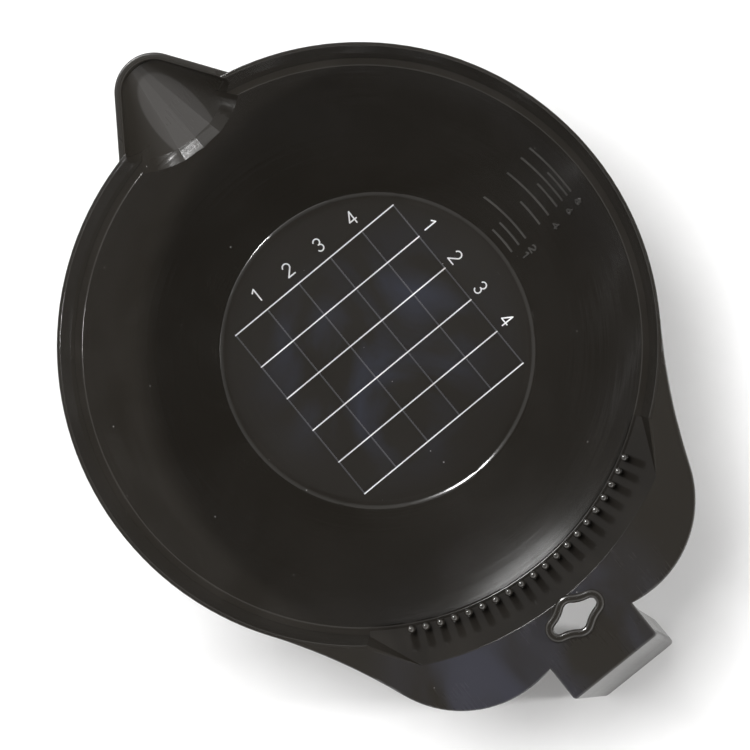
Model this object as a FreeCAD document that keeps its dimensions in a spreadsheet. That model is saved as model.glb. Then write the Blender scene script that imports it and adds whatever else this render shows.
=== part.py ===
import FreeCAD, Part
import math
import os
import re

import Sketcher
from FreeCAD import Placement, Rotation, Vector

# Hair colour mixing bowl with a pouring beak, a brush shelf and a hooked-down handle.
# Millimetres. The origin is on the bowl's axis in the plane the foot stands on,
# +Z is up the axis, +X points to the handle and -X to the beak.

os.makedirs("parts", exist_ok=True)
doc = FreeCAD.newDocument("colour_bowl")
sheet = doc.addObject("Spreadsheet::Sheet", "params")

SIZES = [
    # heights
    ("rim_z", 68.0), ("lip_z", 66.2), ("ledge_z", 60.5), ("wall_top", 58.7), ("floor_z", 20.0),
    # bowl wall: one arc swept about the axis, and its thickness
    ("arc_r", 126.0), ("arc_back", 49.6), ("arc_z", 110.3), ("thick", 1.8),
    ("floor_r", 36.5), ("floor_fillet", 1.5),
    # foot
    ("foot_r", 43.0), ("foot_top_r", 41.5), ("bead_z", 2.4), ("bead_in", 40.6), ("bead_out", 43.8),
    ("bead_round", 0.7),
    # rim ledge, collar and lip
    ("ledge_out", 69.5), ("ledge_round", 0.5), ("collar_in", 67.9), ("collar_out", 70.6),
    ("lip_in", 70.2), ("rim_r", 71.0),
    # beak: nose arcs, side angle and the self-similar vee of its channel (for one unit of run)
    ("nose_x", 76.6), ("nose_r", 9.4), ("mouth_r", 7.7), ("beak_angle", 34.6), ("flare", 0.15),
    ("vee_w", 0.69), ("vee_deep", 0.6), ("vee_y_low", 0.185), ("vee_z_low", 0.572),
    ("vee_y_high", 0.655), ("vee_z_high", 0.15), ("vee_r", 0.9), ("beak_round", 0.5),
    # brush shelf: two lobes, blended into the rim
    ("lobe_x", 60.9), ("lobe_y", 17.9), ("lobe_r", 26.7), ("blend_r", 150.0),
    ("skirt_z", 64.0), ("skirt_thick", 1.6), ("shelf_round", 0.5),
    # wiping trough between the shelf and the mouth of the bowl
    ("trough_toe", 67.0), ("trough_r", 76.3), ("trough_half", 36.9), ("side_p", 59.7),
    ("side_angle", 65.9), ("trough_under", 67.3),
    # wiping pins
    ("pin_r", 0.9), ("pin_ring", 67.6), ("pin_base", 60.0), ("pin_top", 66.4),
    ("pin_count", 20.0), ("pin_span", 56.5),
    # hanging hole and its bead
    ("hole_x", 81.05), ("tip_y", 4.85), ("tip_r", 1.2), ("side_x", 1.55), ("side_r", 1.8),
    ("ogee_r", 10.0), ("bead_wide", 2.0), ("bead_high", 0.9), ("hole_bead_round", 0.8),
    # handle
    ("tab_wide", 24.5), ("tab_end", 96.4), ("tab_corner", 1.0), ("tab_round", 0.7),
    ("grip_foot_x", 100.5), ("grip_foot_z", 1.5), ("grip_foot_wide", 21.5), ("grip_round", 0.8),
    ("grip_corner", 2.5),
    ("flange_top_x", 87.9), ("flange_neck_x", 89.3), ("flange_neck_z", 58.5), ("flange_neck_r", 38.0),
    ("flange_low_x", 93.1), ("flange_low_z", 9.5), ("flange_toe_z", 4.5), ("flange_toe_r", 5.5),
    # measuring grid in the floor
    ("pitch", 10.0), ("line_wide", 0.3), ("line_high", 0.25), ("notch", 0.12), ("grid_lines", 6.0),
    ("grid_y", 0.5), ("grid_turn", 0.5), ("gate_r", 1.0), ("gate_wide", 0.25), ("gate_high", 0.15),
    # filling marks on the wall: height of each, thickness, ends
    ("mark_half_ounce", 22.6), ("mark_one", 25.2), ("mark_two", 27.8), ("mark_three", 33.8),
    ("mark_four", 38.0), ("mark_five", 42.3), ("mark_six", 45.4), ("mark_seven", 48.3),
    ("mark_eight", 50.7), ("mark_wide", 0.45), ("mark_high", 0.3), ("mark_right", 2.2),
    ("mark_short_left", 5.0), ("mark_long_left", 12.0), ("digit_stroke", 0.32),
    ("grid_digit", 3.3), ("mark_digit", 2.3),
]

for row, (alias, number) in enumerate(SIZES, start=1):
    sheet.set("A%d" % row, alias)
    sheet.set("B%d" % row, repr(number))
    sheet.setAlias("B%d" % row, alias)
doc.recompute()

ALIASES = {alias for alias, number in SIZES}


def bound(text):
    """Expression text with every alias pointed at the spreadsheet."""
    return re.sub(r"[a-z_]+", lambda m: "params." + m.group() if m.group() in ALIASES else m.group(), text)


def value(text):
    """Number an expression of aliases comes to now."""
    found = sheet.evalExpression(bound(text).replace("params.", ""))
    return float(getattr(found, "Value", found))


def wall_in(height):
    """Radius of the wall's inner face at a height."""
    return "(sqrt(arc_r ^ 2 - (arc_z - %s) ^ 2) - arc_back)" % height


def wall_out(height):
    """Radius of the wall's outer face at a height."""
    return "(sqrt((arc_r + thick) ^ 2 - (arc_z - %s) ^ 2) - arc_back)" % height


def new_body(name, compound=False):
    body = doc.addObject("PartDesign::Body", name)
    body.Label = name
    body.AllowCompound = compound
    return body


def origin_item(body, role):
    return [item for item in body.Origin.OriginFeatures if item.Role == role][0]


def new_sketch(body, name, plane, offset=None):
    sketch = body.newObject("Sketcher::SketchObject", name)
    sketch.AttachmentSupport = [(origin_item(body, plane), "")]
    sketch.MapMode = "FlatFace"
    if offset:
        sketch.setExpression("AttachmentOffset.Base.z", bound(offset))
    return sketch


def place_point(sketch, edge, end, corner):
    """Tie a point to the sketch's origin by its two coordinates."""
    for kind, axis, text in (("DistanceX", -2, corner[0]), ("DistanceY", -1, corner[1])):
        if text == "0":
            sketch.addConstraint(Sketcher.Constraint("PointOnObject", edge, end, axis))
        else:
            index = sketch.addConstraint(Sketcher.Constraint(kind, -1, 1, edge, end, value(text)))
            sketch.setExpression("Constraints[%d]" % index, bound(text))


def outline(sketch, corners):
    """Closed outline. A corner is (x, y), or (x, y, radius, turn) when an arc leaves it:
    turn +1 is anticlockwise, -1 clockwise."""
    count = len(corners)
    first = sketch.GeometryCount
    spots = [Vector(value(c[0]), value(c[1]), 0) for c in corners]
    ends = []
    for i, corner in enumerate(corners):
        start = spots[i]
        stop = spots[(i + 1) % count]
        if len(corner) == 2:
            sketch.addGeometry(Part.LineSegment(start, stop), False)
            ends.append((1, 2))
            continue
        radius = value(corner[2])
        turn = corner[3]
        chord = stop - start
        lift = math.sqrt(max(radius ** 2 - (chord.Length / 2) ** 2, 0))
        side = Vector(-chord.y, chord.x, 0).normalize() * turn
        centre = (start + stop) * 0.5 + side * lift
        low = start if turn > 0 else stop
        high = stop if turn > 0 else start
        angles = [math.atan2(p.y - centre.y, p.x - centre.x) for p in (low, high)]
        sketch.addGeometry(Part.ArcOfCircle(Part.Circle(centre, Vector(0, 0, 1), radius), *angles), False)
        ends.append((1, 2) if turn > 0 else (2, 1))
    for i, corner in enumerate(corners):
        here = first + i
        after = first + (i + 1) % count
        sketch.addConstraint(Sketcher.Constraint("Coincident", here, ends[i][1], after, ends[(i + 1) % count][0]))
        place_point(sketch, here, ends[i][0], corner)
        if len(corner) > 2:
            index = sketch.addConstraint(Sketcher.Constraint("Radius", here, value(corner[2])))
            sketch.setExpression("Constraints[%d]" % index, bound(corner[2]))


def circle(sketch, x, y, radius):
    spot = Vector(value(x), value(y), 0)
    index = sketch.addGeometry(Part.Circle(spot, Vector(0, 0, 1), value(radius)), False)
    place_point(sketch, index, 3, (x, y))
    ring = sketch.addConstraint(Sketcher.Constraint("Radius", index, value(radius)))
    sketch.setExpression("Constraints[%d]" % ring, bound(radius))


def turned(body, sketch, angle="360"):
    """Solid turned about the bowl's axis, half of the angle each side of the sketch."""
    turn = body.newObject("PartDesign::Revolution", body.Name + "_turn")
    turn.Profile = sketch
    turn.ReferenceAxis = (sketch, ["V_Axis"])
    turn.Midplane = angle != "360"
    turn.setExpression("Angle", bound(angle))
    return turn


def padded(body, sketch, length, both=False):
    pad = body.newObject("PartDesign::Pad", sketch.Name + "_pad")
    pad.Profile = sketch
    pad.setExpression("Length", bound(length))
    pad.SideType = "Symmetric" if both else "One side"
    return pad


def rounded(body, feature, radius, wanted):
    """Fillet on the edges of a feature whose middle point passes the test."""
    doc.recompute()
    names = []
    for number, edge in enumerate(feature.Shape.Edges, start=1):
        if wanted(edge.CenterOfMass, edge):
            names.append("Edge%d" % number)
    fillet = body.newObject("PartDesign::Fillet", feature.Name + "_round")
    fillet.Base = (feature, names)
    fillet.setExpression("Radius", bound(radius))
    doc.recompute()
    return fillet


def level(edge, height):
    """True when the whole edge lies at one height."""
    return all(abs(v.Z - value(height)) < 0.01 for v in edge.Vertexes)


def boolean(kind, name, base, tool):
    result = doc.addObject("Part::" + kind, name)
    result.Label = name
    result.Base = base
    result.Tool = tool
    return result


def ring_body(name, corners, angle="360", faces_back=False):
    """Body turned from an outline in the XZ plane; faces_back draws it on the -X side."""
    if faces_back:
        corners = [("-(%s)" % c[0], c[1]) if len(c) == 2 else ("-(%s)" % c[0], c[1], c[2], -c[3]) for c in corners]
    body = new_body(name)
    sketch = new_sketch(body, name + "_section", "XZ_Plane")
    outline(sketch, corners)
    turned(body, sketch, angle)
    return body


def flat_body(name, corners, base, height):
    """Body padded upwards from an outline in plan."""
    body = new_body(name)
    sketch = new_sketch(body, name + "_plan", "XY_Plane", base)
    outline(sketch, corners)
    padded(body, sketch, height)
    return body


# ---------------------------------------------------------------- beak channel and its skin

BEAK_RUN = "(nose_x + (%s + flare) / sin(beak_angle))"


def vee(body, name, station, apex):
    """Cross-section of the channel at x = -station: a creased shallow vee with rounded sides."""
    run = "(%s - %s)" % (apex, station)
    sketch = new_sketch(body, name, "YZ_Plane", "-" + station)

    def at(y, z):
        return ("%s * %s" % (y, run), "rim_z - %s * %s" % (z, run))

    right = [at("vee_y_low", "vee_z_low") + ("vee_r * " + run, 1), at("vee_y_high", "vee_z_high"),
             at("vee_w", "0"), at("vee_w", "-0.1")]
    left = [at("-vee_w", "-0.1"), at("-vee_w", "0"),
            at("-vee_y_high", "vee_z_high") + ("vee_r * " + run, 1), at("-vee_y_low", "vee_z_low")]
    outline(sketch, [("0", at("0", "vee_deep")[1])] + right + left)
    return sketch


def beak_cone(name, apex):
    """Creased cone that widens from the beak's nose to inside the bowl."""
    body = new_body(name)
    small = vee(body, name + "_tip", "(nose_x + 11.5)", apex)
    large = vee(body, name + "_mouth", "(nose_x - 24.3)", apex)
    loft = body.newObject("PartDesign::AdditiveLoft", name + "_loft")
    loft.Profile = small
    loft.Sections = [large]
    loft.Ruled = True
    return body


def beak_plan(name, radius, height):
    """Plan of the beak: a nose arc with straight sides running back to the bowl."""
    touch_x = "(nose_x + %s * sin(beak_angle))" % radius
    touch_y = "(%s * cos(beak_angle))" % radius
    far_y = "(%s + tan(beak_angle) * (%s - 50))" % (touch_y, touch_x)
    corners = [("-50", "-" + far_y), ("-" + touch_x, "-" + touch_y, radius, -1),
               ("-" + touch_x, touch_y), ("-50", far_y)]
    return flat_body(name, corners, "rim_z - 38", height)


channel_cone = beak_cone("channel_cone", BEAK_RUN % "mouth_r")
channel_plan = beak_plan("channel_plan", "mouth_r", "45")
channel = boolean("Common", "channel", channel_cone, channel_plan)

envelope = ring_body("bowl_envelope", [
    ("0", "40"),
    (wall_out("40"), "40", "arc_r + thick", 1),
    (wall_out("wall_top"), "wall_top"),
    ("ledge_out", "wall_top"),
    ("ledge_out", "ledge_z"),
    ("collar_out", "lip_z"),
    ("rim_r", "lip_z"),
    ("rim_r", "rim_z + 2"),
    ("0", "rim_z + 2"),
])

skin_cone = beak_cone("skin_cone", BEAK_RUN % "nose_r")
skin_plan = beak_plan("skin_plan", "nose_r", "38")
skin = boolean("Common", "skin", skin_cone, skin_plan)
skin_open = boolean("Cut", "skin_open", skin, channel)
beak = boolean("Cut", "pour_spout_sharp", skin_open, envelope)

# ---------------------------------------------------------------- bowl: floor, wall and foot

floor = new_body("bowl_floor")
floor_plan = new_sketch(floor, "floor_plan", "XY_Plane", "floor_z - thick")
circle(floor_plan, "0", "0", "floor_r")
padded(floor, floor_plan, "thick")

wall = ring_body("wall_blank", [
    ("floor_r", "floor_z - thick"),
    (wall_out("(floor_z - thick)"), "floor_z - thick", "arc_r + thick", 1),
    (wall_out("wall_top"), "wall_top"),
    (wall_in("wall_top"), "wall_top", "arc_r", -1),
    (wall_in("floor_z"), "floor_z"),
    ("floor_r", "floor_z"),
])
rounded(wall, wall.Tip, "floor_fillet",
        lambda c, e: level(e, "floor_z") and e.Curve.TypeId == "Part::GeomCircle"
        and abs(e.Curve.Radius - value(wall_in("floor_z"))) < 0.01)
bowl_wall = boolean("Cut", "bowl_wall", wall, channel)


def foot_height(radius):
    """Height at which the wall's outer face has a radius."""
    return "(arc_z - sqrt((arc_r + thick) ^ 2 - (%s + arc_back) ^ 2))" % radius


foot_skirt = ring_body("foot_skirt", [
    ("foot_r - thick", "bead_z"),
    ("foot_r", "bead_z"),
    ("foot_top_r", foot_height("foot_top_r"), "arc_r + thick", -1),
    ("foot_top_r - thick", foot_height("(foot_top_r - thick)")),
])

foot_bead = ring_body("foot_bead", [
    ("bead_in", "0"), ("bead_out", "0"), ("bead_out", "bead_z"), ("bead_in", "bead_z")])
rounded(foot_bead, foot_bead.Tip, "bead_round",
        lambda c, e: e.Curve.TypeId == "Part::GeomCircle" and abs(e.Curve.Radius - value("bead_out")) < 0.01)

# ---------------------------------------------------------------- rim: ledge and collar

ledge = ring_body("ledge_blank", [
    (wall_in("wall_top"), "wall_top"),
    ("ledge_out", "wall_top"),
    ("ledge_out", "ledge_z"),
    (wall_in("ledge_z"), "ledge_z", "arc_r", -1),
], "360 - 2 * trough_half", True)
rounded(ledge, ledge.Tip, "ledge_round",
        lambda c, e: level(e, "ledge_z") and e.Curve.TypeId == "Part::GeomCircle"
        and abs(e.Curve.Radius - value(wall_in("ledge_z"))) < 0.01)
rim_ledge = boolean("Cut", "rim_ledge", ledge, channel)

collar = ring_body("collar_blank", [
    ("collar_in", "ledge_z"),
    ("ledge_out", "ledge_z"),
    ("collar_out", "lip_z"),
    ("rim_r", "lip_z"),
    ("rim_r", "rim_z"),
    ("lip_in", "rim_z"),
], "360 - 2 * trough_half", True)
rim_collar = boolean("Cut", "rim_collar", collar, channel)

# ---------------------------------------------------------------- brush shelf, trough, pins


def kiss(a, b, radius, side):
    """Arc of a radius touching circles a and b (x, y, r) from outside: its two touching points."""
    dx = "(%s - %s)" % (b[0], a[0])
    dy = "(%s - %s)" % (b[1], a[1])
    gap = "sqrt(%s ^ 2 + %s ^ 2)" % (dx, dy)
    reach_a = "(%s + %s)" % (radius, a[2])
    reach_b = "(%s + %s)" % (radius, b[2])
    along = "((%s ^ 2 - %s ^ 2 + %s ^ 2) / (2 * %s))" % (reach_a, reach_b, gap, gap)
    aside = "(%d * sqrt(%s ^ 2 - %s ^ 2))" % (side, reach_a, along)
    x = "(%s + (%s * %s - %s * %s) / %s)" % (a[0], along, dx, aside, dy, gap)
    y = "(%s + (%s * %s + %s * %s) / %s)" % (a[1], along, dy, aside, dx, gap)
    touches = []
    for c, reach in ((a, reach_a), (b, reach_b)):
        share = "%s / %s" % (c[2], reach)
        touches.append(("%s + (%s - %s) * %s" % (c[0], x, c[0], share),
                        "%s + (%s - %s) * %s" % (c[1], y, c[1], share)))
    return touches


def below(point):
    """The same point on the other side of the XZ plane."""
    return (point[0], "-(%s)" % point[1])


def side_line(radius):
    """Point of the trough's side line at a distance from the bowl's axis."""
    run = "sqrt((%s) ^ 2 - side_p ^ 2)" % radius
    return ("side_p * cos(side_angle) + %s * sin(side_angle)" % run,
            "side_p * sin(side_angle) - %s * cos(side_angle)" % run)


def at_end(radius):
    """Point on the radius where the trough meets the rim's end."""
    return ("%s * cos(trough_half)" % radius, "%s * sin(trough_half)" % radius)


LOBE = ("lobe_x", "lobe_y", "lobe_r")
lobe_touch, rim_touch = kiss(LOBE, ("0", "0", "rim_r"), "blend_r", -1)
notch_x = "(lobe_x + sqrt(lobe_r ^ 2 - (lobe_y - tab_wide / 2) ^ 2))"

shelf_plan = [
    (notch_x, "-tab_wide / 2"),
    (notch_x, "tab_wide / 2", "lobe_r", 1),
    lobe_touch + ("blend_r", -1),
    rim_touch + ("rim_r", -1),
    at_end("rim_r"),
    side_line("trough_r") + ("trough_r", -1),
    below(side_line("trough_r")),
    below(at_end("rim_r")) + ("rim_r", -1),
    below(rim_touch) + ("blend_r", -1),
    below(lobe_touch) + ("lobe_r", 1),
]
shelf = flat_body("brush_shelf", shelf_plan, "lip_z", "rim_z - lip_z")


def hole_outline(sketch, grow):
    """Rounded diamond with hollow sides, all offset outwards by a distance."""
    tip = ("hole_x", "tip_y", "(tip_r + %s)" % grow)
    side = ("(hole_x + side_x)", "0", "(side_r + %s)" % grow)
    near = ("(hole_x - side_x)", "0", "(side_r + %s)" % grow)
    hollow = "(ogee_r - %s)" % grow
    tip_a, side_a = kiss(tip, side, hollow, 1)
    tip_b, near_b = kiss(tip, near, hollow, -1)
    outline(sketch, [
        side_a + (hollow, -1), tip_a + (tip[2], 1), tip_b + (hollow, -1), near_b + (near[2], 1),
        below(near_b) + (hollow, -1), below(tip_b) + (tip[2], 1), below(tip_a) + (hollow, -1),
        below(side_a) + (side[2], 1)])


hole_plan = new_sketch(shelf, "hole_plan", "XY_Plane", "rim_z")
hole_outline(hole_plan, "0")
hole_cut = shelf.newObject("PartDesign::Pocket", "hanging_hole")
hole_cut.Profile = hole_plan
hole_cut.setExpression("Length", bound("rim_z - lip_z + 1"))
rounded(shelf, hole_cut, "shelf_round",
        lambda c, e: level(e, "rim_z") and math.hypot(c.x, c.y) > value("trough_r")
        and abs(c.y) > value("tab_wide") / 2 and e.Length > 20)

hole_bead = new_body("hang_hole_bead")
bead_plan = new_sketch(hole_bead, "bead_plan", "XY_Plane", "rim_z")
hole_outline(bead_plan, "bead_wide")
hole_outline(bead_plan, "0")
bead_pad = padded(hole_bead, bead_plan, "bead_high")
rounded(hole_bead, bead_pad, "hole_bead_round", lambda c, e: level(e, "rim_z + bead_high"))

skirt_blanks = {}
for hand, flip in (("left", lambda p: p), ("right", below)):
    INNER = ("lobe_x", "lobe_y", "(lobe_r - skirt_thick)")
    inner_touch, inner_end = kiss(INNER, ("0", "0", "(rim_r - skirt_thick)"), "(blend_r + skirt_thick)", -1)
    inner_x = "(lobe_x + sqrt((lobe_r - skirt_thick) ^ 2 - (lobe_y - tab_wide / 2) ^ 2))"
    turn = 1 if hand == "left" else -1
    plan = [
        flip((notch_x, "tab_wide / 2")) + ("lobe_r", turn),
        flip(lobe_touch) + ("blend_r", -turn),
        flip(rim_touch),
        flip(inner_end) + ("(blend_r + skirt_thick)", turn),
        flip(inner_touch) + ("(lobe_r - skirt_thick)", -turn),
        flip((inner_x, "tab_wide / 2")),
    ]
    blank = flat_body("skirt_blank_" + hand, plan, "skirt_z", "lip_z - skirt_z")
    skirt_blanks[hand] = boolean("Cut", "shelf_edge_skirt_" + hand, blank, envelope)

trough_slope = ring_body("trough_slope", [
    (wall_in("wall_top"), "wall_top"),
    ("trough_under", "wall_top"),
    ("trough_r", "lip_z"),
    ("trough_r", "rim_z"),
    ("trough_toe", "ledge_z"),
    (wall_in("ledge_z"), "ledge_z", "arc_r", -1),
], "2 * trough_half")
rounded(trough_slope, trough_slope.Tip, "ledge_round",
        lambda c, e: level(e, "ledge_z") and e.Curve.TypeId == "Part::GeomCircle"
        and abs(e.Curve.Radius - value(wall_in("ledge_z"))) < 0.01)


def side_at(x, shift):
    """Point of the trough's side line, moved outwards by a distance, at a given x."""
    return (x, "(side_p + %s - %s * cos(side_angle)) / sin(side_angle)" % (shift, x))


between_sides = flat_body("between_sides", [
    side_at("45", "0"), below(side_at("45", "0")), below(side_at("80", "0")), side_at("80", "0"),
], "wall_top - 1", "rim_z - wall_top + 2")
wiper_trough = boolean("Common", "wiper_trough", trough_slope, between_sides)

# Each cheek carries the collar's steep face on along the side line, dwindling to nothing where the
# trough meets the shelf: a solid of flat faces between the side line, the shelf and the collar's end.


def slope_z(radius):
    """Height of the trough's slope at a radius."""
    rise = value("rim_z - ledge_z") / value("trough_r - trough_toe")
    return value("ledge_z") + (radius - value("trough_toe")) * rise


def on_ray(radius, height):
    swing = math.radians(value("trough_half"))
    return Vector(radius * math.cos(swing), radius * math.sin(swing), height)


def cheek(name, mirror):
    swing = math.radians(value("side_angle - trough_half"))
    low_r = value("side_p") / math.cos(swing)
    under = value("rim_z - lip_z")
    far = [value(text) for text in side_line("trough_r")]
    tip = Vector(far[0], far[1], value("rim_z"))
    tip_low = tip - Vector(0, 0, under)
    toe = on_ray(low_r, slope_z(low_r))
    toe_low = toe - Vector(0, 0, under)
    lip = on_ray(value("lip_in"), value("rim_z"))
    back = on_ray(value("rim_r"), value("rim_z"))
    back_low = on_ray(value("rim_r"), toe_low.z + under)
    faces = [(tip, back, lip), (toe, tip, lip), (toe, toe_low, tip_low, tip), (toe_low, back_low, tip_low),
             (back, tip, tip_low, back_low), (toe, lip, back, back_low, toe_low)]
    shell = Part.makeShell([Part.Face(Part.makePolygon(list(face) + [face[0]])) for face in faces])
    solid = Part.makeSolid(shell)
    if mirror:
        solid = solid.mirror(Vector(0, 0, 0), Vector(0, 1, 0))
    if solid.Volume < 0:
        solid.reverse()
    piece = doc.addObject("Part::Feature", name)
    piece.Label = name
    piece.Shape = solid
    piece.Placement = Placement(Vector(0, 0, 0), Rotation())
    return piece


cheeks = [cheek("trough_cheek_left", False), cheek("trough_cheek_right", True)]

pins = new_body("pin_row", True)
pin_section = new_sketch(pins, "pin_section", "XZ_Plane")
outline(pin_section, [
    ("pin_ring", "pin_base"),
    ("pin_ring + pin_r", "pin_base"),
    ("pin_ring + pin_r", "pin_top - pin_r", "pin_r", 1),
    ("pin_ring", "pin_top"),
])
pin_turn = pins.newObject("PartDesign::Revolution", "pin_turn")
pin_turn.Profile = pin_section
pin_axis = pin_section.addGeometry(Part.LineSegment(
    Vector(value("pin_ring"), value("pin_base"), 0), Vector(value("pin_ring"), value("pin_top"), 0)), True)
pin_section.addConstraint(Sketcher.Constraint("Coincident", pin_axis, 1, 0, 1))
pin_section.addConstraint(Sketcher.Constraint("Coincident", pin_axis, 2, 2, 2))
doc.recompute()
pin_turn.ReferenceAxis = (pin_section, ["Axis0"])
pin_turn.Angle = 360
pin_pattern = pins.newObject("PartDesign::PolarPattern", "pin_pattern")
pin_pattern.Originals = [pin_turn]
pin_pattern.Axis = (origin_item(pins, "Z_Axis"), [""])
pin_pattern.setExpression("Angle", bound("pin_span"))
pin_pattern.setExpression("Occurrences", bound("pin_count"))
pins.Tip = pin_pattern
pins.Placement = Placement(Vector(0, 0, 0), Rotation(Vector(0, 0, 1), -value("pin_span") / 2))
wiper_pins = boolean("Cut", "wiper_pins", pins, trough_slope)

# ---------------------------------------------------------------- handle

tab = flat_body("handle_tab", [
    (notch_x, "-tab_wide / 2"), ("tab_end", "-tab_wide / 2"),
    ("tab_end", "tab_wide / 2"), (notch_x, "tab_wide / 2"),
], "lip_z", "rim_z - lip_z")
tab_corners = rounded(tab, tab.Tip, "tab_corner",
                      lambda c, e: abs(c.x - value("tab_end")) < 0.01 and abs(c.y) > 10)
rounded(tab, tab_corners, "tab_round", lambda c, e: level(e, "rim_z") and c.x > value("tab_end") - 2)


def grip_x(height, depth):
    """X of a plane of the grip: depth 0 is its outer face."""
    lean = "(grip_foot_x - tab_end) / (lip_z - grip_foot_z)"
    return "(tab_end - %s + (lip_z - %s) * %s)" % (depth, height, lean)


grip = new_body("handle_grip")
grip_ends = []
for name, height, wide in (("grip_top", "lip_z", "tab_wide"), ("grip_toe", "grip_foot_z", "grip_foot_wide")):
    end = new_sketch(grip, name, "XY_Plane", height)
    outline(end, [
        (grip_x(height, "thick"), "-%s / 2" % wide), (grip_x(height, "0"), "-%s / 2" % wide),
        (grip_x(height, "0"), "%s / 2" % wide), (grip_x(height, "thick"), "%s / 2" % wide)])
    grip_ends.append(end)
grip_loft = grip.newObject("PartDesign::AdditiveLoft", "grip_loft")
grip_loft.Profile = grip_ends[0]
grip_loft.Sections = [grip_ends[1]]
grip_loft.Ruled = True
grip_toe = rounded(grip, grip_loft, "grip_corner",
                   lambda c, e: abs(c.z - value("grip_foot_z")) < 0.01 and abs(c.y) > 9)
rounded(grip, grip_toe, "grip_round",
        lambda c, e: c.z < value("lip_z") - 0.5 and c.x > value(grip_x("lip_z", "0")) + 0.01
        and all(abs(v.X - value(grip_x("%f" % v.Z, "0"))) < 0.02 for v in e.Vertexes))

flange_shape = new_body("flange_shape")
flange_side = new_sketch(flange_shape, "flange_side", "XZ_Plane")
outline(flange_side, [
    ("flange_top_x", "lip_z", "flange_neck_r", -1),
    ("flange_neck_x", "flange_neck_z"),
    ("flange_low_x", "flange_low_z", "flange_toe_r", 1),
    (grip_x("flange_toe_z", "thick"), "flange_toe_z"),
    (grip_x("lip_z", "thick"), "lip_z"),
])
padded(flange_shape, flange_side, "tab_wide + 2", True)
flanges = []
for hand, flip in (("left", ""), ("right", "-")):
    strip = new_body("flange_strip_" + hand)
    strip_end = new_sketch(strip, "strip_end_" + hand, "YZ_Plane", "flange_top_x - 5")
    outline(strip_end, [
        (flip + "(tab_wide / 2 - skirt_thick)", "lip_z"),
        (flip + "(grip_foot_wide / 2 - skirt_thick)", "grip_foot_z"),
        (flip + "(grip_foot_wide / 2)", "grip_foot_z"),
        (flip + "(tab_wide / 2)", "lip_z")])
    padded(strip, strip_end, "20")
    flanges.append(boolean("Common", "handle_flange_" + hand, flange_shape, strip))

# ---------------------------------------------------------------- measuring grid in the floor


def grid_body(name, x_from, x_to, y_from, y_to, columns, rows):
    """Raised bar in the floor grid, repeated every pitch along X and along Y."""
    body = new_body(name, True)
    sketch = new_sketch(body, name + "_plan", "XY_Plane")
    outline(sketch, [(x_from, y_from), (x_to, y_from), (x_to, y_to), (x_from, y_to)])
    pad = padded(body, sketch, "line_high")
    pattern = body.newObject("PartDesign::LinearPattern", name + "_rows")
    pattern.Originals = [pad]
    pattern.Direction = (origin_item(body, "X_Axis"), [""])
    pattern.setExpression("Length", bound("pitch * (%s - 1)" % columns))
    pattern.setExpression("Occurrences", bound(columns))
    if rows != "1":
        pattern.Direction2 = (origin_item(body, "Y_Axis"), [""])
        pattern.setExpression("Length2", bound("pitch * (%s - 1)" % rows))
        pattern.setExpression("Occurrences2", bound(rows))
    body.Tip = pattern
    body.Placement = Placement(Vector(0, value("grid_y"), value("floor_z")),
                               Rotation(Vector(0, 0, 1), value("grid_turn")))
    return body


HALF = "(pitch * (grid_lines - 1) / 2)"
grid_across = grid_body("grid_lines_across", "-%s - line_wide / 2" % HALF, "-%s + line_wide / 2" % HALF,
                        "-%s - line_wide / 2" % HALF, "%s + line_wide / 2" % HALF, "grid_lines", "1")
grid_along = grid_body("grid_lines_along", "-%s + line_wide / 2 + notch" % HALF,
                       "-%s + pitch - line_wide / 2 - notch" % HALF,
                       "-%s - line_wide / 2" % HALF, "-%s + line_wide / 2" % HALF,
                       "grid_lines - 1", "grid_lines")

gate = new_body("floor_gate_mark")
gate_plan = new_sketch(gate, "gate_plan", "XY_Plane", "floor_z")
circle(gate_plan, "0", "0", "gate_r")
circle(gate_plan, "0", "0", "gate_r - gate_wide")
padded(gate, gate_plan, "gate_high")

# ---------------------------------------------------------------- filling marks on the wall


def mark_corners(height):
    """Section of one raised mark: a band of the wall's arc, lifted inwards."""
    half = "(90 * mark_wide / (3.14159265 * arc_r))"
    across = "(sqrt(arc_r ^ 2 - (arc_z - %s) ^ 2) / arc_r)" % height
    down = "((arc_z - %s) / arc_r)" % height

    def polar(radius, sign):
        x = "%s * (%s * cos(%s) - %s * %s * sin(%s)) - arc_back" % (radius, across, half, sign, down, half)
        z = "arc_z - %s * (%s * cos(%s) + %s * %s * sin(%s))" % (radius, down, half, sign, across, half)
        return (x, z)

    return [polar("arc_r", "1") + ("arc_r", 1), polar("arc_r", "-1"),
            polar("(arc_r - mark_high)", "-1") + ("arc_r - mark_high", -1), polar("(arc_r - mark_high)", "1")]


def mark_group(name, heights, left):
    rings = new_body(name + "_rings", True)
    section = new_sketch(rings, name + "_section", "XZ_Plane")
    for height in heights:
        outline(section, mark_corners(height))
    turned(rings, section)
    window = flat_body(name + "_window", [
        ("-" + left, "20"), ("mark_right", "20"), ("mark_right", "80"), ("-" + left, "80"),
    ], "floor_z", "rim_z - floor_z")
    return boolean("Common", name, rings, window)


marks_short = mark_group("volume_marks_short", ["mark_half_ounce", "mark_one", "mark_three", "mark_five",
                                                "mark_seven"], "mark_short_left")
marks_long = mark_group("volume_marks_long", ["mark_two", "mark_four", "mark_six", "mark_eight"],
                        "mark_long_left")

# ---------------------------------------------------------------- numerals

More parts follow.
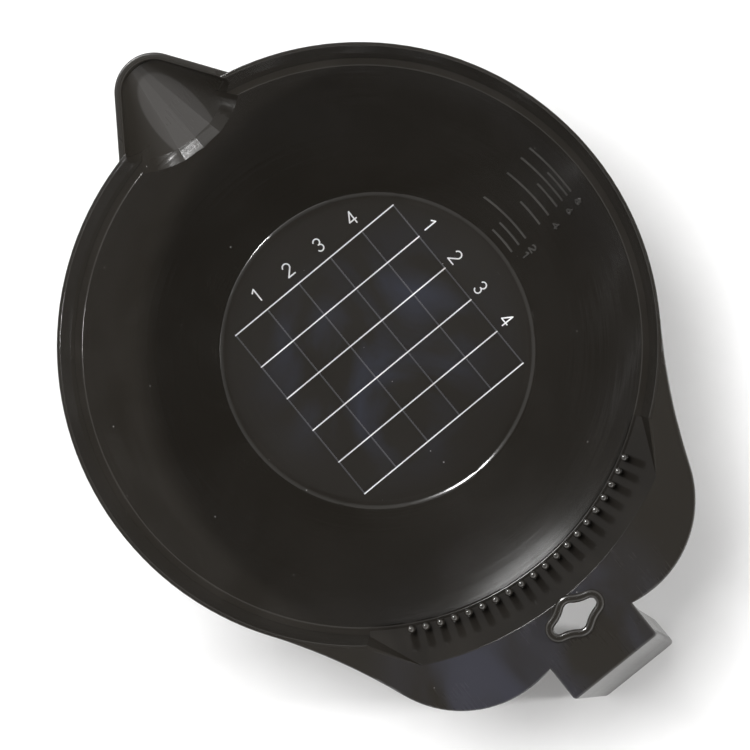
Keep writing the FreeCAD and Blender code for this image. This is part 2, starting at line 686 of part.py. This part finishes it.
# strokes of each numeral for a height of one: ("line", points) or ("arc", x, y, radius, from, to)
NUMERALS = {
    "1": [("line", [(0.1, 0.8), (0.35, 1.0), (0.35, 0.0)])],
    "2": [("arc", 0.3, 0.72, 0.28, -40, 165), ("line", [(0.5145, 0.54), (0.0, 0.0), (0.6, 0.0)])],
    "3": [("arc", 0.28, 0.75, 0.25, -90, 155), ("arc", 0.28, 0.25, 0.25, -155, 90)],
    "4": [("line", [(0.45, 0.0), (0.45, 1.0), (0.0, 0.3), (0.62, 0.3)])],
    "6": [("arc", 0.28, 0.27, 0.27, 0, 360), ("line", [(0.047, 0.406), (0.4, 1.0)])],
    "8": [("arc", 0.28, 0.76, 0.23, 0, 360), ("arc", 0.28, 0.265, 0.265, 0, 360)],
}


def numeral(text, height, stroke, deep, lift):
    """Solid numeral centred on the origin in XY, from -deep to lift in Z."""
    half = stroke / 2
    base = Vector(0, 0, -deep)
    up = Vector(0, 0, 1)
    pieces = []
    for item in NUMERALS[text]:
        if item[0] == "line":
            spots = [Vector(x * height, y * height, 0) for x, y in item[1]]
            for spot in spots:
                pieces.append(Part.makeCylinder(half, deep + lift, spot + base))
            for start, stop in zip(spots, spots[1:]):
                run = stop - start
                bar = Part.makeBox(run.Length, stroke, deep + lift, Vector(0, -half, 0))
                bar.Placement = Placement(start + base, Rotation(Vector(1, 0, 0), run))
                pieces.append(bar)
            continue
        name, x, y, radius, low, high = item
        centre = Vector(x * height, y * height, 0) + base
        outer = Part.makeCylinder(radius * height + half, deep + lift, centre, up, high - low)
        inner = Part.makeCylinder(radius * height - half, deep + lift, centre, up, high - low)
        sector = outer.cut(inner)
        sector.rotate(centre, up, low)
        pieces.append(sector)
        if high - low < 360:
            for angle in (low, high):
                tip = Vector(math.cos(math.radians(angle)), math.sin(math.radians(angle)), 0)
                pieces.append(Part.makeCylinder(half, deep + lift, centre + tip * radius * height))
    solid = pieces[0].multiFuse(pieces[1:]).removeSplitter() if len(pieces) > 1 else pieces[0]
    solid.translate(Vector(-0.3 * height, -0.5 * height, 0))
    return solid


def numeral_row(name, entries, stroke_height, deep, lift):
    """One feature from numerals at given placements."""
    solids = []
    for text, place in entries:
        piece = numeral(text, stroke_height, value("digit_stroke"), deep, lift)
        piece.Placement = place.multiply(piece.Placement)
        solids += piece.Solids
    row = doc.addObject("Part::Feature", name)
    row.Label = name
    row.Shape = Part.makeCompound(solids)
    row.Placement = Placement(Vector(0, 0, 0), Rotation())
    return row


reach = value(HALF) + 4.2
top_of_floor = value("floor_z")
columns_at = [-15.7, -5.7, 4.0, 14.0]
rows_at = [-14.5, -4.7, 5.0, 15.3]
numerals_along = numeral_row("grid_numerals_along", [
    (text, Placement(Vector(x, reach, top_of_floor), Rotation(Vector(0, 0, 1), 0)))
    for text, x in zip("1234", columns_at)], value("grid_digit"), 0, value("line_high"))
numerals_across = numeral_row("grid_numerals_across", [
    (text, Placement(Vector(-reach, y, top_of_floor), Rotation(Vector(0, 0, 1), 90)))
    for text, y in zip("1234", rows_at)], value("grid_digit"), 0, value("line_high"))


def on_wall(x, height):
    """Placement on the wall's inner face: local Z looks into the bowl, local Y climbs the wall."""
    radius = value(wall_in(height))
    swing = math.asin(x / radius)
    outwards = Vector(math.sin(swing), math.cos(swing), 0)
    climb = math.acos((value("arc_z") - value(height)) / value("arc_r"))
    normal = outwards * -math.cos(math.pi / 2 - climb) + Vector(0, 0, math.sin(math.pi / 2 - climb))
    slope = outwards * math.sin(math.pi / 2 - climb) + Vector(0, 0, math.cos(math.pi / 2 - climb))
    spot = outwards * radius + Vector(0, 0, value(height))
    return Placement(spot, Rotation(slope.cross(normal), slope, normal, "ZXY"))


marks_numbered = [("1", "mark_one"), ("2", "mark_two"), ("4", "mark_four"), ("6", "mark_six"),
                  ("8", "mark_eight")]
wall_numerals = numeral_row("wall_numerals", [
    (text, on_wall(5.2, height)) for text, height in marks_numbered],
    value("mark_digit"), 0.15, value("mark_high"))
volume_numerals = boolean("Cut", "volume_numerals", wall_numerals, wall)

doc.recompute()

# ---------------------------------------------------------------- rounded lip of the beak

beak_names = []
for number, edge in enumerate(beak.Shape.Edges, start=1):
    middle = edge.CenterOfMass
    if level(edge, "rim_z") and math.hypot(middle.x, middle.y) > value("rim_r") + 0.6:
        beak_names.append((number, value("beak_round"), value("beak_round")))
pour_spout = doc.addObject("Part::Fillet", "pour_spout")
pour_spout.Label = "pour_spout"
pour_spout.Base = beak
pour_spout.Edges = beak_names
doc.recompute()

# ---------------------------------------------------------------- write one file for each piece

PIECES = [floor, bowl_wall, foot_skirt, foot_bead, rim_ledge, rim_collar, pour_spout, shelf, wiper_trough,
          cheeks[0], cheeks[1], wiper_pins, hole_bead, tab, grip, flanges[0], flanges[1],
          skirt_blanks["left"], skirt_blanks["right"], gate, grid_across, grid_along,
          numerals_across, numerals_along, marks_long, marks_short, volume_numerals]

for thing in doc.Objects:
    if "Invalid" in thing.State or "Error" in thing.State:
        raise RuntimeError("%s is in state %s" % (thing.Name, thing.State))
for piece in PIECES:
    shape = piece.Shape
    if shape.isNull() or not shape.isValid() or not shape.Solids:
        raise RuntimeError("%s has no valid solid" % piece.Label)
    shape.exportStep("parts/%s.step" % piece.Label)
    box = shape.BoundBox
    print("%-24s solids %3d  volume %9.2f  x %7.2f %7.2f  y %7.2f %7.2f  z %6.2f %6.2f" % (
        piece.Label, len(shape.Solids), shape.Volume,
        box.XMin, box.XMax, box.YMin, box.YMax, box.ZMin, box.ZMax))
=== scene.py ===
import bpy
from mathutils import Matrix, Vector

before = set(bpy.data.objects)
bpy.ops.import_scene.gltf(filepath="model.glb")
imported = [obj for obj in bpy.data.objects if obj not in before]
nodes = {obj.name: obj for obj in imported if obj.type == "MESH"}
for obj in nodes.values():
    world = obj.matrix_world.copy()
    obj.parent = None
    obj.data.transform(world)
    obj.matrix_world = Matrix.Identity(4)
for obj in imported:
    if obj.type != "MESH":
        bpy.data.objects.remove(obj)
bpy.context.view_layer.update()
scene = bpy.context.scene
scene.view_settings.view_transform = "Standard"

MM = 0.001


# ------------------------------------------------------------------ node helpers

def feed(tree, socket, value):
    """Join a socket to an output, or set it to a plain value."""
    if isinstance(value, bpy.types.NodeSocket):
        tree.links.new(value, socket)
    else:
        socket.default_value = value


def calculate(tree, operation, *values):
    """Output of a Math node fed by sockets or plain numbers."""
    node = tree.nodes.new("ShaderNodeMath")
    node.operation = operation
    for socket, value in zip(node.inputs, values):
        feed(tree, socket, value)
    return node.outputs["Value"]


def combine(tree, operation, first, second):
    """Vector Math node fed by two vectors."""
    node = tree.nodes.new("ShaderNodeVectorMath")
    node.operation = operation
    feed(tree, node.inputs[0], first)
    feed(tree, node.inputs[1], second)
    return node


def mix(tree, kind, amount, first, second):
    """Mix of two colours (kind RGBA) or of two vectors (kind VECTOR)."""
    node = tree.nodes.new("ShaderNodeMix")
    node.data_type = kind
    feed(tree, node.inputs["Factor"], amount)
    feed(tree, node.inputs["A"], first)
    feed(tree, node.inputs["B"], second)
    return node.outputs["Result"]


def rescale(tree, value, start, end, low=0.0, high=1.0, interpolation="LINEAR"):
    """Value taken from the range start to end into the range low to high, and kept inside it."""
    node = tree.nodes.new("ShaderNodeMapRange")
    node.interpolation_type = interpolation
    node.inputs["From Min"].default_value = start
    node.inputs["From Max"].default_value = end
    node.inputs["To Min"].default_value = low
    node.inputs["To Max"].default_value = high
    feed(tree, node.inputs["Value"], value)
    return node.outputs["Result"]


def noise(tree, place, scale, detail, distortion=0.0):
    """Noise at a place in space."""
    node = tree.nodes.new("ShaderNodeTexNoise")
    node.inputs["Scale"].default_value = scale
    node.inputs["Detail"].default_value = detail
    node.inputs["Distortion"].default_value = distortion
    feed(tree, node.inputs["Vector"], place)
    return node.outputs["Fac"]


def between(tree, value, low, high):
    """1 where a value lies between two bounds, 0 elsewhere."""
    above = calculate(tree, "GREATER_THAN", value, low)
    below = calculate(tree, "LESS_THAN", value, high)
    return calculate(tree, "MULTIPLY", above, below)


def radius_and_x(tree, place):
    """Distance from the bowl's axis, and x."""
    split = tree.nodes.new("ShaderNodeSeparateXYZ")
    feed(tree, split.inputs["Vector"], place)
    squares = [calculate(tree, "POWER", split.outputs[axis], 2.0) for axis in "XY"]
    return calculate(tree, "SQRT", calculate(tree, "ADD", *squares)), split.outputs["X"]


def inside_zone(tree, place, zone):
    """1 inside any of the boxes of a zone, 0 elsewhere.

    Each box is (lowest radius, highest radius, lowest x, highest x) in millimetres, the radius
    being the distance from the bowl's axis.
    """
    radius, x = radius_and_x(tree, place)
    total = 0.0
    for low_radius, high_radius, low_x, high_x in zone:
        ring = between(tree, radius, low_radius * MM, high_radius * MM)
        strip = between(tree, x, low_x * MM, high_x * MM)
        total = calculate(tree, "MAXIMUM", total, calculate(tree, "MULTIPLY", ring, strip))
    return total


def fading(tree, place, patch):
    """1 inside a patch, fading to 0 at its edge.

    patch is (x, y, half width, length over width, share of the width that is full) in millimetres,
    the patch's length running along x.
    """
    middle_x, middle_y, reach, stretch, core = patch
    squeezed = combine(tree, "MULTIPLY", place, (1.0 / stretch, 1.0, 0.0)).outputs["Vector"]
    middle = (middle_x * MM / stretch, middle_y * MM, 0.0)
    away = combine(tree, "DISTANCE", squeezed, middle).outputs["Value"]
    return rescale(tree, away, reach * MM, reach * MM * core, interpolation="SMOOTHSTEP")


# ------------------------------------------------------------------ moulded plastic

NOISE_SPAN = (0.3, 0.7)               # where most of a noise's values lie
ROUGHNESS_DRIFT = 0.04                # how far the roughness drifts either way
WIPE_TURN = (0.2, 0.3, 0.6)           # direction of the wiping streaks
WIPE_SCALE = (60.0, 1500.0, 60.0)     # long one way and fine across
WIPE_DEPTH = 0.05                     # how much the streaks add to the roughness
PEEL_STRENGTH = 0.12
PEEL_HEIGHT = 0.06 * MM
RING_SCALE = 700.0
DUST_SCALE = 260.0
DUST_SIZE = 0.055                     # radius of the largest speck, in cells of its texture
DUST_COLOUR = (0.3, 0.295, 0.29, 1.0)
SWIRL_TONE_GAIN = 1.5                       # lighter swirl tone against colour, where no second colour is given


def worn_roughness(tree, place, roughness):
    """Roughness that drifts over the surface, with fine wiping streaks."""
    drift = rescale(tree, noise(tree, place, scale=38.0, detail=4.0), *NOISE_SPAN,
                    roughness - ROUGHNESS_DRIFT, roughness + ROUGHNESS_DRIFT)
    stretch = tree.nodes.new("ShaderNodeMapping")
    stretch.inputs["Rotation"].default_value = WIPE_TURN
    stretch.inputs["Scale"].default_value = WIPE_SCALE
    feed(tree, stretch.inputs["Vector"], place)
    wipes = noise(tree, stretch.outputs["Vector"], scale=1.0, detail=3.0)
    return calculate(tree, "MULTIPLY_ADD", wipes, WIPE_DEPTH, drift)


def swirled_tone_and_painted_light(tree, place, colour, tone_and_painted_light, swirl_range, painted_light_patch):
    """Colour with a second one over it in slow swirls.

    The range is where in the swirls' noise the second colour starts and where it is full, and the
    patch limits it to a patch, as in fading. Inside a patch the second colour is painted light;
    without one it is a lighter tone that differs at random.
    """
    swirl = noise(tree, place, scale=30.0, detail=6.0, distortion=1.6)
    amount = rescale(tree, swirl, *swirl_range)
    if painted_light_patch:
        amount = calculate(tree, "MULTIPLY", amount, fading(tree, place, painted_light_patch))
    return mix(tree, "RGBA", amount, (*colour, 1.0), (*tone_and_painted_light, 1.0))


def dusted(tree, place, colour, chance):
    """Colour with a few pale specks of dust."""
    cells = tree.nodes.new("ShaderNodeTexVoronoi")
    cells.inputs["Scale"].default_value = DUST_SCALE
    feed(tree, cells.inputs["Vector"], place)
    split = tree.nodes.new("ShaderNodeSeparateColor")
    feed(tree, split.inputs["Color"], cells.outputs["Color"])
    size = calculate(tree, "MULTIPLY", split.outputs["Green"], DUST_SIZE)
    speck = calculate(tree, "LESS_THAN", cells.outputs["Distance"], size)
    chosen = calculate(tree, "LESS_THAN", split.outputs["Red"], chance)
    return mix(tree, "RGBA", calculate(tree, "MULTIPLY", speck, chosen), colour, DUST_COLOUR)


def turning_marks(tree, place, depth):
    """Height of fine, uneven rings around the bowl's axis."""
    line = tree.nodes.new("ShaderNodeTexNoise")
    line.noise_dimensions = "1D"
    line.inputs["Scale"].default_value = RING_SCALE
    line.inputs["Detail"].default_value = 3.0
    feed(tree, line.inputs["W"], radius_and_x(tree, place)[0])
    return calculate(tree, "MULTIPLY", line.outputs["Fac"], depth)


def softened_normal(tree, place, edge, zone):
    """Normal with its corners shaded as if they had a radius, everywhere or inside a zone.

    It changes the shading only, not the shape.
    """
    soften = tree.nodes.new("ShaderNodeBevel")
    soften.samples = 8
    soften.inputs["Radius"].default_value = edge
    if not zone:
        return soften.outputs["Normal"]
    plain = tree.nodes.new("ShaderNodeNewGeometry")
    return mix(tree, "VECTOR", inside_zone(tree, place, zone), plain.outputs["Normal"],
               soften.outputs["Normal"])


def moulded_plastic(name, colour, roughness, ior=1.5, tone_and_painted_light=None, swirl_range=(0.42, 0.68),
                    painted_light_patch=None, edge=0.0, edge_zone=None, rings=0.0, dust=0.0):
    """Glossy moulded plastic: faint orange peel, drifting gloss and fine wiping streaks.

    edge is the radius that corners are softened by, in metres, and edge_zone limits where they
    are softened, so that joints between pieces of one moulding stay invisible. rings is the depth
    of faint turning marks, against the orange peel. dust is the chance of a speck.
    """
    material = bpy.data.materials.new(name)
    material.use_nodes = True
    tree = material.node_tree
    tree.nodes.clear()
    output = tree.nodes.new("ShaderNodeOutputMaterial")
    shader = tree.nodes.new("ShaderNodeBsdfPrincipled")
    feed(tree, output.inputs["Surface"], shader.outputs["BSDF"])
    place = tree.nodes.new("ShaderNodeTexCoord").outputs["Object"]

    tone_and_painted_light = tone_and_painted_light or [channel * SWIRL_TONE_GAIN for channel in colour]
    surface = swirled_tone_and_painted_light(tree, place, colour, tone_and_painted_light, swirl_range, painted_light_patch)
    if dust:
        surface = dusted(tree, place, surface, dust)
    relief = noise(tree, place, scale=420.0, detail=2.0)
    if rings:
        relief = calculate(tree, "ADD", relief, turning_marks(tree, place, rings))
    bump = tree.nodes.new("ShaderNodeBump")
    bump.inputs["Strength"].default_value = PEEL_STRENGTH
    bump.inputs["Distance"].default_value = PEEL_HEIGHT
    feed(tree, bump.inputs["Height"], relief)
    if edge:
        feed(tree, bump.inputs["Normal"], softened_normal(tree, place, edge, edge_zone))

    feed(tree, shader.inputs["Base Color"], surface)
    feed(tree, shader.inputs["Roughness"], worn_roughness(tree, place, roughness))
    feed(tree, shader.inputs["IOR"], ior)
    feed(tree, shader.inputs["Normal"], bump.outputs["Normal"])
    return material


# ------------------------------------------------------------------ materials

BLACK = (0.0165, 0.0145, 0.0118)
FAINT_SWIRL_TONE = (0.02, 0.0178, 0.015)
EDGE = 0.4 * MM

# Where corners are softened, in the terms of inside_zone. ALL_X is past the rim and the beak.
ALL_X = 100
COLLAR_EDGES = [(0, 70.6, -ALL_X, 56), (70.6, 80, -ALL_X, 38)]
SPOUT_EDGES = [(74, 100, -ALL_X, 0)]
TROUGH_EDGES = [(75.6, 80, 0, ALL_X)]
SHELF_EDGES = [(71.6, 75.7, 0, 86.4), (76.9, 110, 0, 86.4), (80, 200, 87.6, 93)]

# Patches of painted light, in the terms of fading. The beak's is a painted highlight: a leaf of
#  paler colour, in place of the curves that seem to make the real channel look paler there. The
#  shelf's and the floor's are a painted bluish sheen.
BEAK_PAINTED_HIGHLIGHT = (-69.5, 0.2, 6.6, 1.95, 0.92)
SHELF_PAINTED_SHEEN = (84, -14, 42, 1.0, 0.35)
FLOOR_PAINTED_SHEEN = (0, 0, 37, 1.0, 0.35)

smooth_black = moulded_plastic("smooth_black", BLACK, roughness=0.12, tone_and_painted_light=FAINT_SWIRL_TONE, rings=5.0, dust=0.25)
crisp_black = moulded_plastic("crisp_black", BLACK, roughness=0.2, tone_and_painted_light=FAINT_SWIRL_TONE)
collar_black = moulded_plastic("collar_black", BLACK, roughness=0.15, ior=1.8, tone_and_painted_light=FAINT_SWIRL_TONE,
                               edge=EDGE, edge_zone=COLLAR_EDGES)
# The beak's pale leaf is a painted highlight.
spout_black = moulded_plastic("spout_black", BLACK, roughness=0.26, tone_and_painted_light=(0.037, 0.0345, 0.032),
                              swirl_range=(-0.2, 0.1), painted_light_patch=BEAK_PAINTED_HIGHLIGHT, edge=EDGE,
                              edge_zone=SPOUT_EDGES)
# The trough's colour is BLACK darkened: painted shade that keeps the trough as dark as the wall.
trough_black = moulded_plastic("trough_black", (0.012, 0.0106, 0.009), roughness=0.16, ior=1.36,
                               edge=EDGE, edge_zone=TROUGH_EDGES, dust=0.2)
trim_black = moulded_plastic("trim_black", BLACK, roughness=0.16, ior=1.8, tone_and_painted_light=FAINT_SWIRL_TONE, edge=EDGE)
# The bluish patch on the shelf and tab is a painted sheen.
shelf_black = moulded_plastic("shelf_black", BLACK, roughness=0.24, tone_and_painted_light=(0.03, 0.03, 0.038),
                              swirl_range=(0.35, 0.6), painted_light_patch=SHELF_PAINTED_SHEEN, edge=EDGE,
                              edge_zone=SHELF_EDGES, dust=0.15)
# The bluish patch on the floor is a painted sheen.
floor_black = moulded_plastic("floor_black", BLACK, roughness=0.2, tone_and_painted_light=(0.025, 0.0265, 0.036),
                              swirl_range=(0.42, 0.62), painted_light_patch=FLOOR_PAINTED_SHEEN, rings=4.0, dust=0.35)
grip_black = moulded_plastic("grip_black", BLACK, roughness=0.3, tone_and_painted_light=(0.021, 0.0195, 0.0185), edge=EDGE)
pin_black = moulded_plastic("pin_black", BLACK, roughness=0.14, ior=2.1)
# The floor's raised grid lines come in two copies of one finish: a pale painted glint on the lines across,
# a faint painted glint on the lines along. The numerals share the pale colour.
glint_mark = moulded_plastic("glint_mark", (0.62, 0.62, 0.63), roughness=0.34)
faint_glint_mark = moulded_plastic("faint_glint_mark", (0.05, 0.05, 0.055), roughness=0.3)
wall_mark = moulded_plastic("wall_mark", (0.055, 0.053, 0.05), roughness=0.25)

FINISHES = {
    smooth_black: ["bowl_wall", "foot_skirt", "foot_bead", "rim_ledge"],
    crisp_black: ["trough_cheek_left", "trough_cheek_right", "shelf_edge_skirt_left",
                  "shelf_edge_skirt_right"],
    collar_black: ["rim_collar"],
    spout_black: ["pour_spout"],
    trough_black: ["wiper_trough"],
    trim_black: ["handle_flange_left", "handle_flange_right", "hang_hole_bead"],
    shelf_black: ["brush_shelf", "handle_tab"],
    grip_black: ["handle_grip"],
    floor_black: ["bowl_floor", "floor_gate_mark"],
    pin_black: ["wiper_pins"],
    glint_mark: ["grid_lines_across", "grid_numerals_across", "grid_numerals_along"],
    faint_glint_mark: ["grid_lines_along"],
    wall_mark: ["volume_marks_long", "volume_marks_short", "volume_numerals"],
}


def finish_with(piece, material):
    """Give a piece one material in every slot it has."""
    if not piece.material_slots:
        piece.data.materials.append(material)
    for slot in piece.material_slots:
        slot.link = "OBJECT"
        slot.material = material


for material, names in FINISHES.items():
    for name in names:
        finish_with(nodes[name], material)


# ------------------------------------------------------------------ floor

FLOOR_HALF = 4.0
FLOOR_GAP = 0.05 * MM                 # keeps the floor just clear of the foot
PAPER_TONES = (0.86, 0.9)


def white_paper():
    """Matt white paper with a fine grain."""
    material = bpy.data.materials.new("paper_white")
    material.use_nodes = True
    tree = material.node_tree
    shader = tree.nodes["Principled BSDF"]
    shader.inputs["Roughness"].default_value = 0.85
    grain = tree.nodes.new("ShaderNodeTexNoise")
    grain.inputs["Scale"].default_value = 900.0
    feed(tree, shader.inputs["Base Color"], rescale(tree, grain.outputs["Fac"], 0.0, 1.0, *PAPER_TONES))
    return material


ground_mesh = bpy.data.meshes.new("studio_floor")
corners = [(x * FLOOR_HALF, y * FLOOR_HALF, 0.0) for x, y in ((-1, -1), (1, -1), (1, 1), (-1, 1))]
ground_mesh.from_pydata(corners, [], [(0, 1, 2, 3)])
ground_mesh.materials.append(white_paper())
ground = bpy.data.objects.new("studio_floor", ground_mesh)
ground.location = (0.0, 0.0, -FLOOR_GAP)
scene.collection.objects.link(ground)


# ------------------------------------------------------------------ light

# The studio's colour against the sine of the elevation: 0 is level and 1 is straight up.
SKY = [
    (0.25, (0.45, 0.44, 0.43)),
    (0.5, (0.7, 0.69, 0.68)),
    (0.78, (0.62, 0.615, 0.61)),
    (0.93, (0.05, 0.05, 0.053)),
]
CENTRE = (0.0, 0.0, 0.03)
BEAK = (-0.06, 0.0, 0.05)


def studio_world():
    """World whose colour depends on the elevation alone."""
    world = bpy.data.worlds.new("studio")
    world.use_nodes = True
    tree = world.node_tree
    heading = tree.nodes.new("ShaderNodeTexCoord")
    height = tree.nodes.new("ShaderNodeSeparateXYZ")
    feed(tree, height.inputs["Vector"], heading.outputs["Generated"])
    dome = tree.nodes.new("ShaderNodeValToRGB")
    stops = dome.color_ramp.elements
    for index, (position, colour) in enumerate(SKY):
        stop = stops[index] if index < len(stops) else stops.new(position)
        stop.position = position
        stop.color = (*colour, 1.0)
    feed(tree, dome.inputs["Fac"], height.outputs["Z"])
    feed(tree, tree.nodes["Background"].inputs["Color"], dome.outputs["Color"])
    return world


def softbox(name, place, aim, width, height, power, diffuse=True, glossy=True):
    """Rectangular studio light at a place, turned towards a point. Power is in watts.

    diffuse says whether it lights surfaces, and glossy whether it shows in their reflections.
    """
    data = bpy.data.lights.new(name, "AREA")
    data.shape = "RECTANGLE"
    data.size = width
    data.size_y = height
    data.energy = power
    lamp = bpy.data.objects.new(name, data)
    lamp.location = place
    lamp.rotation_mode = "QUATERNION"
    lamp.rotation_quaternion = (Vector(aim) - Vector(place)).to_track_quat("-Z", "Y")
    lamp.visible_diffuse = diffuse
    lamp.visible_glossy = glossy
    scene.collection.objects.link(lamp)
    return lamp


scene.world = studio_world()
softbox("key", (-0.27, -0.04, 1.27), CENTRE, width=0.5, height=0.5, power=16.0, glossy=False)
softbox("sparkle", (-0.93, -0.04, 0.98), CENTRE, width=0.26, height=0.26, power=18.0, diffuse=False)
softbox("spout_card", (1.05, 0.08, 0.62), BEAK, width=1.1, height=0.4, power=1.5, diffuse=False)
softbox("window", (0.78, 0.96, 0.34), (-0.04, -0.05, 0.05), width=0.12, height=0.08, power=13.0,
        glossy=False)

# Two small cards whose reflections show only as fine lines on the rim and round the floor.
rim_pieces = bpy.data.collections.new("rim_pieces")
for name in ("rim_ledge", "rim_collar", "bowl_wall"):
    rim_pieces.objects.link(nodes[name])
rim_glint = softbox("rim_glint", (0.78, 0.9, 0.55), CENTRE, width=0.22, height=0.14, power=6.0,
                    diffuse=False)
floor_glint = softbox("floor_glint", (1.1, 0.14, 0.75), CENTRE, width=0.14, height=0.09, power=6.5,
                      diffuse=False)
for card in (rim_glint, floor_glint):
    card.light_linking.receiver_collection = rim_pieces


# ------------------------------------------------------------------ camera

RIM_CENTRE = Vector((0.0, 0.0, 68 * MM))
PICTURE_RIGHT = Vector((0.6294, 0.7771, 0.0))
EYE = RIM_CENTRE + Vector((95.5, 69.4, 1093.0)) * MM
TARGET = RIM_CENTRE + Vector((8.1, -1.1, 0.0)) * MM
LENS = 225.8                          # millimetres, on a sensor SENSOR wide
SENSOR = 36.0

look = (TARGET - EYE).normalized()
up = PICTURE_RIGHT.cross(look).normalized()
side = look.cross(up).normalized()
camera_data = bpy.data.cameras.new("camera")
camera_data.sensor_width = SENSOR
camera_data.lens = LENS
camera_data.clip_start = 0.05
camera_data.clip_end = 20.0
camera = bpy.data.objects.new("camera", camera_data)
camera.matrix_world = Matrix((
    (side.x, up.x, -look.x, EYE.x),
    (side.y, up.y, -look.y, EYE.y),
    (side.z, up.z, -look.z, EYE.z),
    (0.0, 0.0, 0.0, 1.0),
))
scene.collection.objects.link(camera)
scene.camera = camera
